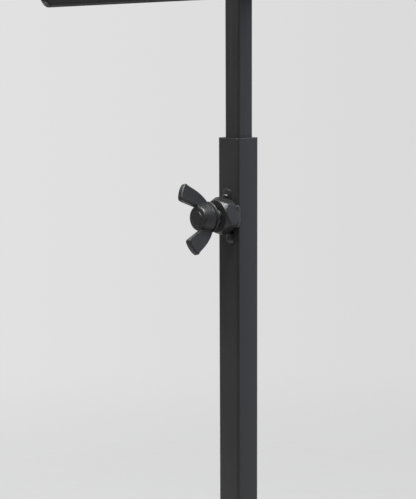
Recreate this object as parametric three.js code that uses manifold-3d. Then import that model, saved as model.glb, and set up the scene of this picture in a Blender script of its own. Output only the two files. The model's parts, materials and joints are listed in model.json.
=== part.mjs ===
// A floor-standing music stand: a square base plate on rubber feet, a telescopic mast of two square
// steel tubes locked by a wing bolt, and a sheet-metal desk that tilts on a bracket at the top.
//
// Millimetres, +Z up. The origin is on the floor under the mast's axis. The reader stands at -Y, the
// desk faces them, and the wing bolt comes out of the mast at +Y.

import * as THREE from 'three';
import { mergeVertices } from 'three/addons/utils/BufferGeometryUtils.js';
import Module from 'manifold-3d';

const wasm = await Module();
wasm.setup();

// ---------------------------------------------------------------- driving dimensions

const CLEARANCE = 0.3; // between a piece and the neighbour that it turns in, passes through or rests on

// base
const PLATE_SIZE = 320;
const PLATE_THICKNESS = 5;
const PLATE_CORNER = 14;
const FOOT_RADIUS = 13;
const FOOT_HEIGHT = 6;
const FOOT_INSET = 20; // from the plate's edge to the foot's axis
const FLANGE_SIZE = 70;
const FLANGE_THICKNESS = 4;
const FLANGE_CORNER = 6;
const FLANGE_SCREW_INSET = 12;

// mast
const LOWER_TUBE_WIDTH = 19;
const LOWER_TUBE_WALL = 2;
const LOWER_TUBE_CORNER = 1.9;
const LOWER_TUBE_TOP = 660;
const UPPER_TUBE_WIDTH = 13;
const UPPER_TUBE_WALL = 1.2;
const UPPER_TUBE_CORNER = 1.4;
const UPPER_TUBE_BOTTOM = 165;
const UPPER_TUBE_SHIFT = -0.6; // the clamp pushes the upper tube this far along Y, off the mast's axis

// mast clamp
const CLAMP_DROP = 50.5; // from the lower tube's top down to the wing bolt's axis
const THREAD_RADIUS = 5;
const BOSS_ACROSS_FLATS = 22;
const BOSS_LENGTH = 11;
const BOSS_TURN = 13.5; // degrees about its axis, its top corner leaning to +X
const BOSS_OUTER_CHAMFER = 57; // degrees from its face
const BOSS_INNER_CHAMFER = 49;
const HANDLE_STANDOFF = 5.3; // free length of thread between the boss and the wing handle
const HANDLE_TURN = 15; // degrees about the bolt's axis, the upper wing leaning to +X
const WING_THICKNESS = 4.6;
const WING_BEVEL = 0.8;
const PAD_RADIUS = 4.5;
const PAD_LENGTH = 3;

// desk
const DESK_WIDTH = 516;
const DESK_HEIGHT = 340;
const DESK_THICKNESS = 1.2;
const DESK_CORNER = 9;
const DESK_RIM = 3; // depth of the rim that is folded back round the desk's edge
const DESK_LEAN = 12; // degrees from upright
const SHELF_WIDTH = 480;
const SHELF_DEPTH = 50;
const SHELF_LIP = 12;
const SHELF_FLANGE = 22;
const SHELF_THICKNESS = 1.5;
const SHELF_RIVET_COUNT = 5;

// tilt hinge
const PIVOT_HEIGHT = 819;
const PIVOT_ABOVE_TUBE = 10; // from the upper tube's end to the tilt axis
const PIVOT_ABOVE_EDGE = 72; // along the desk, from its lower edge to the tilt axis
const PIVOT_TO_DESK = 15; // from the tilt axis to the desk's back face
const TILT_THREAD_RADIUS = 4;
const EAR_THICKNESS = 2.5;
const EAR_RADIUS = 10;
const BRACKET_WIDTH = 60;
const BRACKET_HEIGHT = 52;
const BRACKET_THICKNESS = 2;
const SPACER_THICKNESS = 1.4;
const SPACER_RADIUS = 8;
const TILT_WASHER_RADIUS = 8;
const TILT_WASHER_THICKNESS = 1.6;
const KNOB_RADIUS = 11.5;
const KNOB_LENGTH = 15;
const KNOB_LOBES = 6;

// rivets
const RIVET_RADIUS = 1.9;
const RIVET_HEAD_RADIUS = 3.6;
const RIVET_HEAD_HEIGHT = 1.2;

// ---------------------------------------------------------------- heights and places that follow

const plateTop = FOOT_HEIGHT + PLATE_THICKNESS;
const flangeTop = plateTop + FLANGE_THICKNESS;
const clampHeight = LOWER_TUBE_TOP - CLAMP_DROP;
const tubeFace = LOWER_TUBE_WIDTH / 2;
const threadHole = THREAD_RADIUS + CLEARANCE;
const bossFace = tubeFace + BOSS_LENGTH;
const handleBase = bossFace + HANDLE_STANDOFF;
const padFace = UPPER_TUBE_SHIFT + UPPER_TUBE_WIDTH / 2 + CLEARANCE;
const upperTubeTop = PIVOT_HEIGHT - PIVOT_ABOVE_TUBE;
const earInside = UPPER_TUBE_WIDTH / 2 + SPACER_THICKNESS + 2 * CLEARANCE;
const earOutside = earInside + EAR_THICKNESS;
const tiltHole = TILT_THREAD_RADIUS + CLEARANCE;
const deskBack = -PIVOT_TO_DESK; // in the desk's own frame, whose origin is on the tilt axis
const deskFront = deskBack - DESK_THICKNESS;
const deskBottom = -PIVOT_ABOVE_EDGE;

// ---------------------------------------------------------------- materials

const finish = (color, roughness, metalness) => () =>
  new THREE.MeshStandardMaterial({ color, roughness, metalness });

const powderCoat = finish(0x2b2c2e, 0.6, 0);
const blackCasting = finish(0x232426, 0.45, 0.4);
const blackZinc = finish(0x303235, 0.4, 0.8);
const rubber = finish(0x1c1c1d, 0.9, 0);
const nylon = finish(0x26262a, 0.6, 0);
const steel = finish(0x8c8f93, 0.35, 1);

// ---------------------------------------------------------------- solids

function toSolid(geometry) {
  const bare = geometry.index ? geometry.clone() : geometry;
  bare.deleteAttribute('normal');
  bare.deleteAttribute('uv');
  const merged = mergeVertices(bare, 1e-4);
  return new wasm.Manifold(new wasm.Mesh({
    numProp: 3,
    vertProperties: merged.attributes.position.array,
    triVerts: new Uint32Array(merged.index.array),
  }));
}

function toGeometry(solid) {
  const mesh = solid.getMesh();
  const geometry = new THREE.BufferGeometry();
  geometry.setAttribute('position', new THREE.BufferAttribute(mesh.vertProperties, 3));
  geometry.setIndex(new THREE.BufferAttribute(mesh.triVerts, 1));
  geometry.computeVertexNormals();
  return geometry;
}

function cut(body, ...tools) {
  return toGeometry(tools.reduce((solid, tool) => solid.subtract(toSolid(tool)), toSolid(body)));
}

function join(...pieces) {
  return toGeometry(pieces.map(toSolid).reduce((solid, piece) => solid.add(piece)));
}

function common(body, tool) {
  return toGeometry(toSolid(body).intersect(toSolid(tool)));
}

function makeMesh(name, geometry, material) {
  const mesh = new THREE.Mesh(geometry, material());
  mesh.name = name;
  return mesh;
}

// ---------------------------------------------------------------- outlines and basic forms

// A square or rectangle with rounded corners, centred on the origin.
function roundedRectangle(width, height, radius, Kind = THREE.Shape) {
  const x = width / 2 - radius;
  const y = height / 2 - radius;
  const outline = new Kind();
  outline.absarc(x, y, radius, 0, Math.PI / 2);
  outline.absarc(-x, y, radius, Math.PI / 2, Math.PI);
  outline.absarc(-x, -y, radius, Math.PI, 1.5 * Math.PI);
  outline.absarc(x, -y, radius, 1.5 * Math.PI, 2 * Math.PI);
  outline.closePath();
  return outline;
}

function extruded(shape, depth, curveSegments) {
  return new THREE.ExtrudeGeometry(shape, { depth, bevelEnabled: false, curveSegments });
}

// A flat plate that lies on z = bottom.
function slab(shape, bottom, thickness, curveSegments = 6) {
  return extruded(shape, thickness, curveSegments).translate(0, 0, bottom);
}

function squareTube(width, wall, corner, bottom, top) {
  const section = roundedRectangle(width, width, corner);
  const inner = width - 2 * wall;
  section.holes.push(roundedRectangle(inner, inner, Math.max(corner - wall, 0.4), THREE.Path));
  return slab(section, bottom, top - bottom, 3);
}

// A turned body about the Y axis from [radius, y] pairs that start and end on the axis.
function turned(profile, segments = 24) {
  return new THREE.LatheGeometry(profile.map(([radius, y]) => new THREE.Vector2(radius, y)), segments);
}

// A turned body with a hole right through it: its profile closes on itself.
function turnedRing(profile, segments = 24) {
  return turned([...profile, profile[0]], segments);
}

// A rod about the Y axis, used to cut holes.
function rodAlongY(radius, from, to, segments = 24) {
  return new THREE.CylinderGeometry(radius, radius, to - from, segments).translate(0, (from + to) / 2, 0);
}

const alongX = (geometry) => geometry.rotateZ(-Math.PI / 2); // the Y axis becomes the X axis
const alongZ = (geometry) => geometry.rotateX(Math.PI / 2); // the Y axis becomes the Z axis

// Stands up a side view that was extruded along Z: its X becomes Y, its Y becomes Z, its depth runs along X.
const standing = (geometry) => geometry.rotateX(Math.PI / 2).rotateZ(Math.PI / 2);

// A hexagonal prism about the Y axis, with two of its corners on the Z axis.
function hexagon(acrossFlats, from, to) {
  const radius = acrossFlats / Math.sqrt(3);
  return rodAlongY(radius, from, to, 6);
}

// A hexagonal head or nut about the Y axis, with a cone chamfer at its outer end and one at its inner end.
function chamferedHexagon(acrossFlats, from, to, outerDegrees = 30, innerDegrees = 0) {
  const outside = 1.01 * acrossFlats / Math.sqrt(3);
  const face = 0.95 * acrossFlats / 2;
  const setBack = (degrees) => (outside - face) * Math.tan(THREE.MathUtils.degToRad(degrees));
  const envelope = turned([
    [0, from],
    [face, from],
    [outside, from + setBack(innerDegrees)],
    [outside, to - setBack(outerDegrees)],
    [face, to],
    [0, to],
  ], 36);
  return common(hexagon(acrossFlats, from, to), envelope);
}

// The four corners of a square, named as the reader sees them.
function corners(offset) {
  return [
    ['front_left', -offset, -offset],
    ['front_right', offset, -offset],
    ['rear_left', -offset, offset],
    ['rear_right', offset, offset],
  ];
}

// ---------------------------------------------------------------- base

const footOffset = PLATE_SIZE / 2 - FOOT_INSET;
const footRecessRadius = 5;
const footRecessDepth = 3;
const footScrewRadius = 2;
const footScrewDepth = 4;
const flangeScrewOffset = FLANGE_SIZE / 2 - FLANGE_SCREW_INSET;
const flangeScrewRadius = 3;

function basePlate() {
  const outline = roundedRectangle(PLATE_SIZE, PLATE_SIZE, PLATE_CORNER);
  const plate = slab(outline, FOOT_HEIGHT, PLATE_THICKNESS);
  const footHoles = corners(footOffset).map(([, x, y]) =>
    alongZ(rodAlongY(footScrewRadius + CLEARANCE, -1, footScrewDepth + CLEARANCE, 16))
      .translate(x, y, FOOT_HEIGHT));
  const flangeHoles = corners(flangeScrewOffset).map(([, x, y]) =>
    alongZ(rodAlongY(flangeScrewRadius + CLEARANCE, -1, PLATE_THICKNESS + 1, 16))
      .translate(x, y, FOOT_HEIGHT));
  return makeMesh('base_plate', cut(plate, ...footHoles, ...flangeHoles), powderCoat);
}

// A rubber disc with a recess underneath for its screw's head.
function rubberFoot(place, x, y) {
  const hole = footScrewRadius + CLEARANCE;
  const foot = turnedRing([
    [hole, FOOT_HEIGHT],
    [hole, footRecessDepth],
    [footRecessRadius, footRecessDepth],
    [footRecessRadius, 0],
    [FOOT_RADIUS - 1, 0],
    [FOOT_RADIUS, 1],
    [FOOT_RADIUS - 0.6, FOOT_HEIGHT],
  ]);
  const mesh = makeMesh(`rubber_foot_${place}`, alongZ(foot), rubber);
  mesh.position.set(x, y, 0);
  return mesh;
}

// A pan-head screw, its head clear of the floor in the foot's recess.
function footScrew(place, x, y) {
  const headRadius = 3.8;
  const headBottom = 0.6;
  const headTop = footRecessDepth - CLEARANCE / 3;
  const end = FOOT_HEIGHT + footScrewDepth - CLEARANCE;
  const screw = turned([
    [0, headBottom],
    [headRadius - 1.2, headBottom],
    [headRadius, headBottom + 0.8],
    [headRadius, headTop],
    [footScrewRadius, headTop],
    [footScrewRadius, end],
    [0, end],
  ], 16);
  const mesh = makeMesh(`foot_screw_${place}`, alongZ(screw), blackZinc);
  mesh.position.set(x, y, 0);
  return mesh;
}

function mastFlange() {
  const plate = slab(roundedRectangle(FLANGE_SIZE, FLANGE_SIZE, FLANGE_CORNER), plateTop, FLANGE_THICKNESS);
  const holes = corners(flangeScrewOffset).map(([, x, y]) =>
    alongZ(rodAlongY(flangeScrewRadius + CLEARANCE, -1, FLANGE_THICKNESS + 1, 16)).translate(x, y, plateTop));
  return makeMesh('mast_flange', cut(plate, ...holes), powderCoat);
}

// A button-head screw with a hexagon socket, threaded into the base plate.
function flangeScrew(place, x, y) {
  const headRadius = 5.25;
  const headHeight = 3.3;
  const socketDepth = 2;
  const tip = FOOT_HEIGHT + 1 - flangeTop; // just short of the plate's underside
  const socket = hexagon(4, headHeight - socketDepth, headHeight + 1);
  const screw = turned([
    [0, tip],
    [flangeScrewRadius, tip],
    [flangeScrewRadius, 0],
    [headRadius, 0],
    [headRadius, 0.8],
    [headRadius * 0.86, headHeight * 0.65],
    [headRadius * 0.6, headHeight],
    [0, headHeight],
  ], 20);
  const mesh = makeMesh(`flange_screw_${place}`, alongZ(cut(screw, socket)), blackZinc);
  mesh.position.set(x, y, flangeTop);
  return mesh;
}

// ---------------------------------------------------------------- mast

function lowerMastTube() {
  const tube = squareTube(LOWER_TUBE_WIDTH, LOWER_TUBE_WALL, LOWER_TUBE_CORNER, flangeTop, LOWER_TUBE_TOP);
  const hole = rodAlongY(threadHole, tubeFace - 2 * LOWER_TUBE_WALL, tubeFace + 1)
    .translate(0, 0, clampHeight);
  return makeMesh('lower_mast_tube', cut(tube, hole), powderCoat);
}

function upperMastTube() {
  const tube = squareTube(
    UPPER_TUBE_WIDTH, UPPER_TUBE_WALL, UPPER_TUBE_CORNER, UPPER_TUBE_BOTTOM, upperTubeTop);
  return makeMesh('upper_mast_tube', tube, powderCoat);
}

const spigotWidth = UPPER_TUBE_WIDTH - 2 * (UPPER_TUBE_WALL + CLEARANCE);
const spigotOutline = () => roundedRectangle(spigotWidth, spigotWidth, 1);

// Closes the upper tube's lower end and keeps the two tubes from rattling on bare metal.
function mastEndPlug() {
  const headHeight = 4;
  const spigotHeight = 14;
  const head = slab(
    roundedRectangle(UPPER_TUBE_WIDTH, UPPER_TUBE_WIDTH, UPPER_TUBE_CORNER),
    UPPER_TUBE_BOTTOM - headHeight, headHeight, 3);
  const spigot = slab(spigotOutline(), UPPER_TUBE_BOTTOM - headHeight, headHeight + spigotHeight, 3);
  return makeMesh('mast_end_plug', join(head, spigot), nylon);
}

// The solid head of the upper tube: a spigot in the tube, and an eye round the tilt bolt.
function pivotBlock() {
  const eyeRadius = UPPER_TUBE_WIDTH / 2;
  const side = new THREE.Shape(); // a side view, with the object's Y across
  side.moveTo(-eyeRadius, upperTubeTop - PIVOT_HEIGHT);
  side.lineTo(eyeRadius, upperTubeTop - PIVOT_HEIGHT);
  side.absarc(0, 0, eyeRadius, 0, Math.PI);
  side.closePath();
  const eye = standing(extruded(side, UPPER_TUBE_WIDTH, 12).translate(0, 0, -UPPER_TUBE_WIDTH / 2));
  const spigotLength = 22;
  const spigot = slab(spigotOutline(), upperTubeTop - PIVOT_HEIGHT - spigotLength, spigotLength + 1, 3);
  const bore = alongX(rodAlongY(tiltHole, -UPPER_TUBE_WIDTH, UPPER_TUBE_WIDTH));
  const mesh = makeMesh('pivot_block', cut(join(eye, spigot), bore), blackCasting);
  mesh.position.z = PIVOT_HEIGHT;
  return mesh;
}

// ---------------------------------------------------------------- mast clamp

// The hexagonal boss is a tall nut, welded over the hole in the lower tube for the wing bolt.
function clampBoss() {
  const boss = chamferedHexagon(
    BOSS_ACROSS_FLATS, tubeFace, bossFace, BOSS_OUTER_CHAMFER, BOSS_INNER_CHAMFER);
  const bore = rodAlongY(threadHole, tubeFace - 1, bossFace + 1);
  const mesh = makeMesh('clamp_boss', cut(boss, bore), powderCoat);
  mesh.rotation.y = THREE.MathUtils.degToRad(BOSS_TURN);
  return mesh;
}

const padSocketRadius = 3;
const padSocketDepth = 1.6;

// A nylon tip that presses on the upper tube without marking it. The bolt's nose turns in its socket.
function clampPad() {
  const back = padFace + PAD_LENGTH;
  const pad = turned([
    [0, padFace],
    [PAD_RADIUS - 0.5, padFace],
    [PAD_RADIUS, padFace + 0.5],
    [PAD_RADIUS, back],
    [padSocketRadius, back],
    [padSocketRadius, back - padSocketDepth],
    [0, back - padSocketDepth],
  ]);
  return makeMesh('clamp_pad', pad, nylon);
}

const studSeatDepth = 8; // length of the threaded rod that is held inside the wing handle

function clampStud() {
  const padBack = padFace + PAD_LENGTH;
  const noseEnd = padBack - padSocketDepth + CLEARANCE;
  const nose = padSocketRadius - CLEARANCE;
  const end = handleBase + studSeatDepth;
  const stud = turned([
    [0, noseEnd],
    [nose, noseEnd],
    [nose, padBack + CLEARANCE],
    [THREAD_RADIUS - 0.9, padBack + CLEARANCE],
    [THREAD_RADIUS, padBack + CLEARANCE + 0.9],
    [THREAD_RADIUS, end],
    [0, end],
  ]);
  return makeMesh('clamp_stud', stud, blackZinc);
}

// One wing in side view: X is the distance from the bolt's axis, Y the distance along it.
function wingOutline() {
  const wing = new THREE.Shape();
  wing.moveTo(2, 0.6);
  wing.lineTo(9.4, 0.6);
  wing.bezierCurveTo(18.2, 5.8, 20.6, 14.0, 22.7, 15.5);
  wing.quadraticCurveTo(23.7, 16.4, 22.6, 17.5);
  wing.quadraticCurveTo(19.6, 20.7, 15.3, 21.9);
  wing.quadraticCurveTo(13.3, 22.5, 12.4, 21.2);
  wing.quadraticCurveTo(10.6, 17.7, 7.3, 9.6);
  wing.lineTo(2, 9.6);
  wing.closePath();
  return wing;
}

// The hub in section, as [radius, y]: a thin rim, a groove, a cone, and an end with a raised button.
const hubProfile = [
  [0, 0],
  [9.8, 0],
  [10.3, 0.5],
  [10.3, 1.3],
  [9.2, 1.6],
  [9.4, 2.4],
  [8.3, 9.2],
  [7.6, 10.4],
  [6.6, 10.8],
  [5.2, 10.9],
  [4.6, 11.4],
  [0, 11.5],
];

// The flanged hub and its two flared wings, moulded in one piece round the end of the threaded rod.
function clampWingHandle() {
  const wing = new THREE.ExtrudeGeometry(wingOutline(), {
    depth: WING_THICKNESS - 2 * WING_BEVEL,
    bevelThickness: WING_BEVEL,
    bevelSize: WING_BEVEL,
    bevelOffset: -WING_BEVEL,
    bevelSegments: 2,
    curveSegments: 5,
  }).translate(0, 0, WING_BEVEL - WING_THICKNESS / 2).rotateY(-Math.PI / 2);
  const opposite = wing.clone().rotateY(Math.PI);
  const bore = rodAlongY(threadHole, -1, studSeatDepth + CLEARANCE);
  const handle = cut(join(turned(hubProfile, 32), wing, opposite), bore);
  const mesh = makeMesh('clamp_wing_handle', handle, blackCasting);
  mesh.position.y = handleBase;
  mesh.rotation.y = THREE.MathUtils.degToRad(HANDLE_TURN);
  return mesh;
}

// ---------------------------------------------------------------- desk, in its own leaning frame

const shelfRivetHeight = deskBottom + 13;
const bracketRivetX = BRACKET_WIDTH / 2 - 8;
const bracketRivetZ = BRACKET_HEIGHT / 2 - 8;
const rivetHole = RIVET_RADIUS + CLEARANCE;

const shelfRivetPlaces = Array.from({ length: SHELF_RIVET_COUNT }, (_, i) =>
  (SHELF_WIDTH - 60) * (i / (SHELF_RIVET_COUNT - 1) - 0.5));

const bracketRivetPlaces = [
  ['lower_left', -bracketRivetX, -bracketRivetZ],
  ['lower_right', bracketRivetX, -bracketRivetZ],
  ['upper_left', -bracketRivetX, bracketRivetZ],
  ['upper_right', bracketRivetX, bracketRivetZ],
];

// A plate drawn in the desk's plane, with its front at y = front.
function uprightSlab(shape, front, thickness, curveSegments = 8) {
  return extruded(shape, thickness, curveSegments).rotateX(Math.PI / 2).translate(0, front + thickness, 0);
}

const rivetCutter = (x, z) =>
  rodAlongY(rivetHole, deskFront - 6, deskBack + 6, 16).translate(x, 0, z);

// A shallow tray of sheet steel: the flat face towards the reader, the rim folded back all round.
function deskPanel() {
  const middle = deskBottom + DESK_HEIGHT / 2;
  const inset = 2 * DESK_THICKNESS;
  const outer = uprightSlab(
    roundedRectangle(DESK_WIDTH, DESK_HEIGHT, DESK_CORNER), deskFront, DESK_THICKNESS + DESK_RIM);
  const pocket = uprightSlab(
    roundedRectangle(DESK_WIDTH - inset, DESK_HEIGHT - inset, DESK_CORNER - DESK_THICKNESS),
    deskBack, DESK_RIM + 1);
  const holes = [
    ...shelfRivetPlaces.map((x) => rivetCutter(x, shelfRivetHeight)),
    ...bracketRivetPlaces.map(([, x, z]) => rivetCutter(x, z)),
  ];
  const panel = cut(outer.translate(0, 0, middle), pocket.translate(0, 0, middle), ...holes);
  return makeMesh('desk_panel', panel, powderCoat);
}

// The ledge that the music rests on: a flange against the desk, a floor, and an upturned lip.
function deskShelf() {
  const back = deskFront - CLEARANCE;
  const front = back - SHELF_DEPTH;
  const bend = 2; // outer radius of the folds
  const inner = bend - SHELF_THICKNESS;
  const t = SHELF_THICKNESS;
  const section = new THREE.Shape(); // a side view, with the desk's Y across
  section.moveTo(back, deskBottom + SHELF_FLANGE);
  section.lineTo(back - t, deskBottom + SHELF_FLANGE);
  section.absarc(back - bend, deskBottom + bend, inner, 0, -Math.PI / 2, true);
  section.absarc(front + bend, deskBottom + bend, inner, -Math.PI / 2, -Math.PI, true);
  section.lineTo(front + t, deskBottom + SHELF_LIP);
  section.lineTo(front, deskBottom + SHELF_LIP);
  section.absarc(front + bend, deskBottom + bend, bend, Math.PI, 1.5 * Math.PI);
  section.absarc(back - bend, deskBottom + bend, bend, -Math.PI / 2, 0);
  section.closePath();
  const shelf = standing(extruded(section, SHELF_WIDTH, 4).translate(0, 0, -SHELF_WIDTH / 2));
  const holes = shelfRivetPlaces.map((x) => rivetCutter(x, shelfRivetHeight));
  return makeMesh('desk_shelf', cut(shelf, ...holes), powderCoat);
}

// A domed head on the reader's side, and a clinched tail on the back at y = tail.
function rivet(name, x, z, headBase, tail) {
  const body = turned([
    [0, headBase - RIVET_HEAD_HEIGHT],
    [RIVET_HEAD_RADIUS * 0.55, headBase - RIVET_HEAD_HEIGHT * 0.9],
    [RIVET_HEAD_RADIUS, headBase - RIVET_HEAD_HEIGHT * 0.25],
    [RIVET_HEAD_RADIUS, headBase],
    [RIVET_RADIUS, headBase],
    [RIVET_RADIUS, tail],
    [RIVET_RADIUS * 1.5, tail],
    [RIVET_RADIUS * 1.4, tail + 1],
    [0, tail + 1.2],
  ], 16);
  const mesh = makeMesh(name, body, blackZinc);
  mesh.position.set(x, 0, z);
  return mesh;
}

const shelfRivets = () => shelfRivetPlaces.map((x, i) => rivet(
  `shelf_rivet_${i + 1}`, x, shelfRivetHeight,
  deskFront - SHELF_THICKNESS - 2 * CLEARANCE, deskBack + CLEARANCE));

const bracketRivets = () => bracketRivetPlaces.map(([place, x, z]) => rivet(
  `bracket_rivet_${place}`, x, z,
  deskFront - CLEARANCE, deskBack + BRACKET_THICKNESS + 2 * CLEARANCE));

// A plate riveted to the desk's back, with two ears welded on it that hold the tilt bolt.
function tiltBracket() {
  const webBack = deskBack + CLEARANCE + BRACKET_THICKNESS;
  const web = uprightSlab(
    roundedRectangle(BRACKET_WIDTH, BRACKET_HEIGHT, 6), deskBack + CLEARANCE, BRACKET_THICKNESS);
  const rootHalf = BRACKET_HEIGHT / 2 - 4;
  const flare = 3; // from the web to where the ear starts to narrow
  const side = new THREE.Shape(); // a side view, with the desk's Y across
  side.moveTo(webBack - 1, -rootHalf);
  side.lineTo(webBack + flare, -rootHalf);
  side.absarc(0, 0, EAR_RADIUS, -Math.PI / 2.4, Math.PI / 2.4);
  side.lineTo(webBack + flare, rootHalf);
  side.lineTo(webBack - 1, rootHalf);
  side.closePath();
  const ear = standing(extruded(side, EAR_THICKNESS, 12));
  const right = ear.clone().translate(earInside, 0, 0);
  const left = ear.translate(-earOutside, 0, 0);
  const bore = alongX(rodAlongY(tiltHole, -earOutside - 1, earOutside + 1));
  const holes = bracketRivetPlaces.map(([, x, z]) => rivetCutter(x, z));
  return makeMesh('tilt_bracket', cut(join(web, right, left), bore, ...holes), powderCoat);
}

// A nylon friction washer between the pivot block and one ear.
function tiltSpacer(name, from) {
  const ring = turnedRing([
    [tiltHole, from],
    [SPACER_RADIUS, from],
    [SPACER_RADIUS, from + SPACER_THICKNESS],
    [tiltHole, from + SPACER_THICKNESS],
  ]);
  return makeMesh(name, alongX(ring), nylon);
}

const tiltWasherStart = earOutside + CLEARANCE;
const knobStart = tiltWasherStart + TILT_WASHER_THICKNESS + CLEARANCE;
const knobBoreDepth = 11;
const tiltBoltEnd = knobStart + knobBoreDepth - 1;

// A hexagon-head bolt that runs along X, with its head on the reader's left.
function tiltBolt() {
  const headAcrossFlats = 13;
  const headHeight = 5.3;
  const headFace = earOutside + CLEARANCE;
  const head = chamferedHexagon(headAcrossFlats, headFace, headFace + headHeight).rotateZ(Math.PI / 2);
  const shank = alongX(turned([
    [0, -headFace - 1],
    [TILT_THREAD_RADIUS, -headFace - 1],
    [TILT_THREAD_RADIUS, tiltBoltEnd - 0.8],
    [TILT_THREAD_RADIUS - 0.8, tiltBoltEnd],
    [0, tiltBoltEnd],
  ]));
  return makeMesh('tilt_bolt', join(head, shank), blackZinc);
}

function tiltWasher() {
  const end = tiltWasherStart + TILT_WASHER_THICKNESS;
  const ring = turnedRing([
    [tiltHole, tiltWasherStart],
    [TILT_WASHER_RADIUS, tiltWasherStart],
    [TILT_WASHER_RADIUS, end],
    [tiltHole, end],
  ]);
  return makeMesh('tilt_washer', alongX(ring), steel);
}

// A moulded hand knob with a blind thread for the tilt bolt and finger grooves round its head.
function tiltKnob() {
  const neck = 7;
  const neckLength = 4;
  const grooveRadius = 4;
  const body = turned([
    [0, 0],
    [neck, 0],
    [neck, neckLength],
    [KNOB_RADIUS - 1, neckLength],
    [KNOB_RADIUS, neckLength + 1],
    [KNOB_RADIUS, KNOB_LENGTH - 2],
    [KNOB_RADIUS - 1.5, KNOB_LENGTH - 0.5],
    [KNOB_RADIUS - 5, KNOB_LENGTH],
    [0, KNOB_LENGTH],
  ], 36);
  const bore = rodAlongY(tiltHole, -1, knobBoreDepth);
  const grooves = Array.from({ length: KNOB_LOBES }, (_, i) => {
    const angle = (i / KNOB_LOBES) * 2 * Math.PI;
    const distance = KNOB_RADIUS + grooveRadius * 0.4;
    return rodAlongY(grooveRadius, neckLength - 1, KNOB_LENGTH + 1, 16)
      .translate(distance * Math.sin(angle), 0, distance * Math.cos(angle));
  });
  const mesh = makeMesh('tilt_knob', alongX(cut(body, bore, ...grooves)), nylon);
  mesh.position.x = knobStart;
  return mesh;
}

// ---------------------------------------------------------------- assembly

function baseAssembly() {
  const group = new THREE.Group();
  group.add(basePlate(), mastFlange(), lowerMastTube());
  for (const [place, x, y] of corners(footOffset)) {
    group.add(rubberFoot(place, x, y), footScrew(place, x, y));
  }
  for (const [place, x, y] of corners(flangeScrewOffset)) {
    group.add(flangeScrew(place, x, y));
  }
  return group;
}

function clampAssembly() {
  const group = new THREE.Group();
  group.add(clampBoss(), clampPad(), clampStud(), clampWingHandle());
  group.position.z = clampHeight;
  return group;
}

function upperMastAssembly() {
  const group = new THREE.Group();
  group.add(upperMastTube(), mastEndPlug(), pivotBlock());
  group.position.y = UPPER_TUBE_SHIFT;
  return group;
}

function deskAssembly() {
  const group = new THREE.Group();
  group.add(deskPanel(), deskShelf(), ...shelfRivets());
  group.add(tiltBracket(), ...bracketRivets(), tiltBolt());
  group.add(tiltSpacer('tilt_spacer_right', UPPER_TUBE_WIDTH / 2 + CLEARANCE));
  group.add(tiltSpacer('tilt_spacer_left', -UPPER_TUBE_WIDTH / 2 - CLEARANCE - SPACER_THICKNESS));
  group.add(tiltWasher(), tiltKnob());
  group.position.set(0, UPPER_TUBE_SHIFT, PIVOT_HEIGHT);
  group.rotation.x = -THREE.MathUtils.degToRad(DESK_LEAN);
  return group;
}

const musicStand = new THREE.Group();
musicStand.add(baseAssembly(), clampAssembly(), upperMastAssembly(), deskAssembly());

export default musicStand;
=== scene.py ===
"""A black steel music stand in a plain pale studio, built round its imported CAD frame.

Each section below makes the pieces of one part of the stand. Every builder works in millimetres; `piece`
scales its mesh to metres and lets it ride on its CAD body. The stand's own places and sizes come from the
frame: from the box of each CAD node, and from the tilt joint's axis. What a box can't tell, such as a wall's
thickness, is named in its own section.
"""

import json
import math
import random

import bmesh
import bpy
from mathutils import Matrix, Vector, noise


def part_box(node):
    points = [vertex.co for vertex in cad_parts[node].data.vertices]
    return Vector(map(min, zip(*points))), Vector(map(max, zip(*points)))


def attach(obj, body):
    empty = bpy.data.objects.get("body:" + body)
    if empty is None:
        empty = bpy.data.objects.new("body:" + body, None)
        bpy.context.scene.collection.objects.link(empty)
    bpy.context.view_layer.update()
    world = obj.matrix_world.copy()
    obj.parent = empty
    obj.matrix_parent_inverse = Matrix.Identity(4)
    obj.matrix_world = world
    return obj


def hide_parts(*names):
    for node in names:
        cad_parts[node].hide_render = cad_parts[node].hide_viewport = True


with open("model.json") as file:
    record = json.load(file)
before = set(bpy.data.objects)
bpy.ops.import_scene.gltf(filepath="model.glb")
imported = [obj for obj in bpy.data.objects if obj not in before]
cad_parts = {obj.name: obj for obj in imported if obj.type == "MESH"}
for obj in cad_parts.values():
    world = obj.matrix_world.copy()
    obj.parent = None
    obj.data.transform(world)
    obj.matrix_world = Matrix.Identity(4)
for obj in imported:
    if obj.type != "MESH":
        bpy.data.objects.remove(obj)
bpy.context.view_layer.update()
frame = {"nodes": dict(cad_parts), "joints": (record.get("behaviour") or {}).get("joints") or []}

MM = 0.001
UP = Vector((0, 0, 1))
dice = random.Random(7)


class Box:
    """A CAD node's box at rest, in millimetres."""

    def __init__(self, node):
        low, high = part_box(node)
        self.low = low / MM
        self.high = high / MM
        self.size = self.high - self.low
        self.middle = (self.low + self.high) / 2


def joint(name):
    """A joint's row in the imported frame."""
    return next(j for j in frame["joints"] if j["name"] == name)


# ---------------------------------------------------------------- materials


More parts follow.
